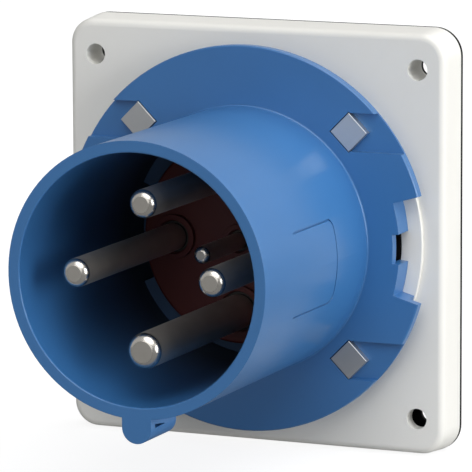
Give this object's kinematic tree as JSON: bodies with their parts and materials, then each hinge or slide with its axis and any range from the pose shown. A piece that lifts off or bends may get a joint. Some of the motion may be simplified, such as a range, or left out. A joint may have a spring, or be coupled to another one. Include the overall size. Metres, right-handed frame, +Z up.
{
  "type": "panel mounted pin and sleeve inlet",
  "caption": "Industrial male pin and sleeve inlet: blue keyed sleeve with nickel pins, clamped by square headed bolts to a light grey panel flange.",
  "frame": {"origin": "centre of the four panel screws, on the back of the flange's gasket (the panel plane)", "axes": "+Y into the panel, -Y out of the sleeve towards the user, +Z up with the key at 6 o'clock, +X to the right as seen by the user"},
  "size_m": [0.118, 0.1247, 0.122],
  "materials": {
    "flange_grey": "light grey moulded plastic, satin gloss",
    "collar_blue": "blue moulded plastic, semi-gloss",
    "carrier_brown": "dark red-brown moulded resin",
    "rear_black": "black moulded plastic",
    "seal_black": "black sealing rubber",
    "pin_nickel": "nickel plated, polished",
    "bolt_steel": "zinc plated steel"
  },
  "bodies": {
    "root": {"carrier_seal": "seal_black", "clamp_bolt_1": "bolt_steel", "clamp_bolt_2": "bolt_steel", "clamp_bolt_3": "bolt_steel", "clamp_bolt_4": "bolt_steel", "clamp_nut_1": "bolt_steel", "clamp_nut_2": "bolt_steel", "clamp_nut_3": "bolt_steel", "clamp_nut_4": "bolt_steel", "clamp_washer_1": "bolt_steel", "clamp_washer_2": "bolt_steel", "clamp_washer_3": "bolt_steel", "clamp_washer_4": "bolt_steel", "collar_seal": "seal_black", "contact_carrier": "carrier_brown", "earth_pin": "pin_nickel", "earth_pin_seal": "seal_black", "earth_terminal_screws": "bolt_steel", "flange_gasket": "seal_black", "lock_ring": "rear_black", "mounting_flange": "flange_grey", "phase_1_pin_seal": "seal_black", "phase_1_terminal_screws": "bolt_steel", "phase_2_pin_seal": "seal_black", "phase_2_terminal_screws": "bolt_steel", "phase_3_pin_seal": "seal_black", "phase_3_terminal_screws": "bolt_steel", "phase_pin_1": "pin_nickel", "phase_pin_2": "pin_nickel", "phase_pin_3": "pin_nickel", "pilot_pin": "pin_nickel", "pilot_pin_seal": "seal_black", "pilot_terminal_screws": "bolt_steel", "pin_retainer": "rear_black", "plug_collar": "collar_blue", "retainer_screw_1": "bolt_steel", "retainer_screw_2": "bolt_steel", "retainer_screw_3": "bolt_steel", "terminal_block": "carrier_brown"}
  },
  "joints": []
}
